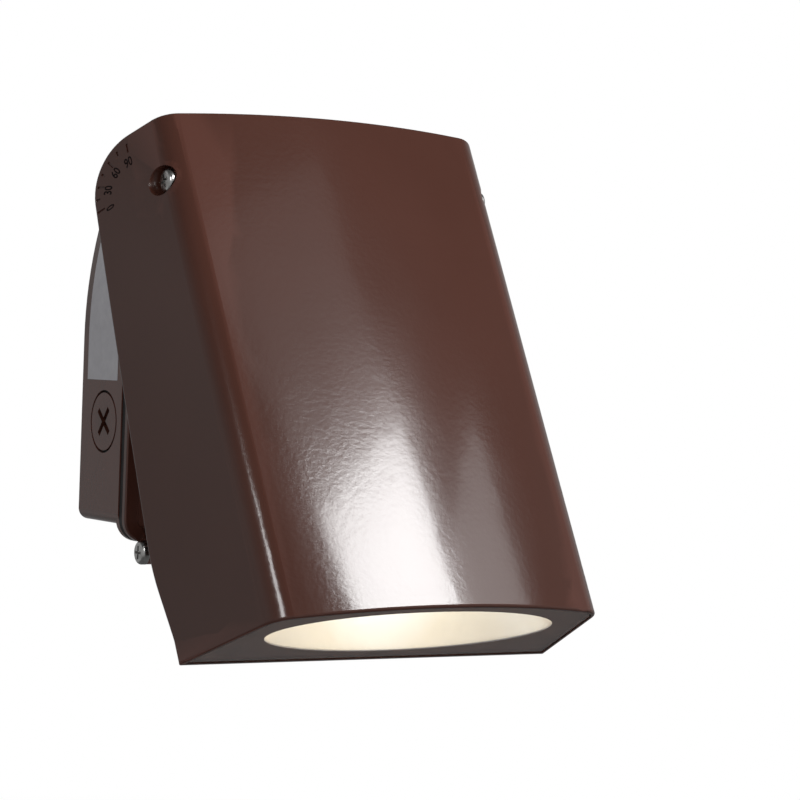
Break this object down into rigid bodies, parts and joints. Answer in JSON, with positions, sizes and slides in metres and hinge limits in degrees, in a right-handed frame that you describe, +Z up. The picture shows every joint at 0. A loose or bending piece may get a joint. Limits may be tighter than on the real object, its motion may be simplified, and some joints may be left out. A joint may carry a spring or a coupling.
{
  "type": "wall pack light",
  "caption": "Outdoor wall pack light: arched wall box, screwed cover and a hood-shaped lamp head that tilts on a barrel hinge, with a flat pane and an oval light window.",
  "frame": {"origin": "on the wall face of the back box, in the middle of its width, at the height of the side conduit entries", "axes": "+Y into the wall, +X to the right as seen from the front, +Z up; the lamp head stands out towards -Y"},
  "size_m": [0.1442, 0.1557, 0.1762],
  "materials": {
    "bronze_coat": "gloss dark bronze powder coat on die-cast aluminium",
    "steel": "bright zinc-plated screws",
    "black_rubber": "matt silicone rubber",
    "label_film": "blank silver-grey polyester film",
    "driver_case": "plain drawn aluminium case, potted",
    "lead_sheath": "smooth lead insulation",
    "nylon": "natural nylon",
    "silicone_pad": "grey heat-conducting pad",
    "board_white": "white solder mask on an aluminium board",
    "led_phosphor": "yellow phosphor, lit",
    "reflector_metal": "satin bright reflector",
    "mask_print": "dark printed border behind the glass",
    "lens_glass": "clear tempered glass"
  },
  "bodies": {
    "wall_box": {"back_box": "bronze_coat", "conduit_plugs": "bronze_coat", "plug_orings": "black_rubber", "box_gasket": "black_rubber", "cover": "bronze_coat", "cover_screws": "steel", "side_label": "label_film", "ground_screw": "steel", "driver": "driver_case", "driver_screws": "steel", "driver_lead": "lead_sheath", "supply_leads": "lead_sheath"},
    "head": {"hood": "bronze_coat", "pivot_bolts": "steel", "pivot_washers": "nylon", "lock_screws": "steel", "lamp_housing": "bronze_coat", "housing_screws": "steel", "thermal_pad": "silicone_pad", "led_board": "board_white", "leds": "led_phosphor", "board_screws": "steel", "board_connector": "nylon", "reflector": "reflector_metal", "lens_gasket": "black_rubber", "lens_mask": "mask_print", "lens": "lens_glass", "head_grommet": "black_rubber", "head_lead": "lead_sheath"}
  },
  "joints": [
    {"name": "head_tilt", "type": "hinge", "parent": "wall_box", "child": "head", "pos_m": [0, -0.054, 0.078], "axis": [-1, 0, 0], "range_deg": [-22.2, 67.8]}
  ]
}
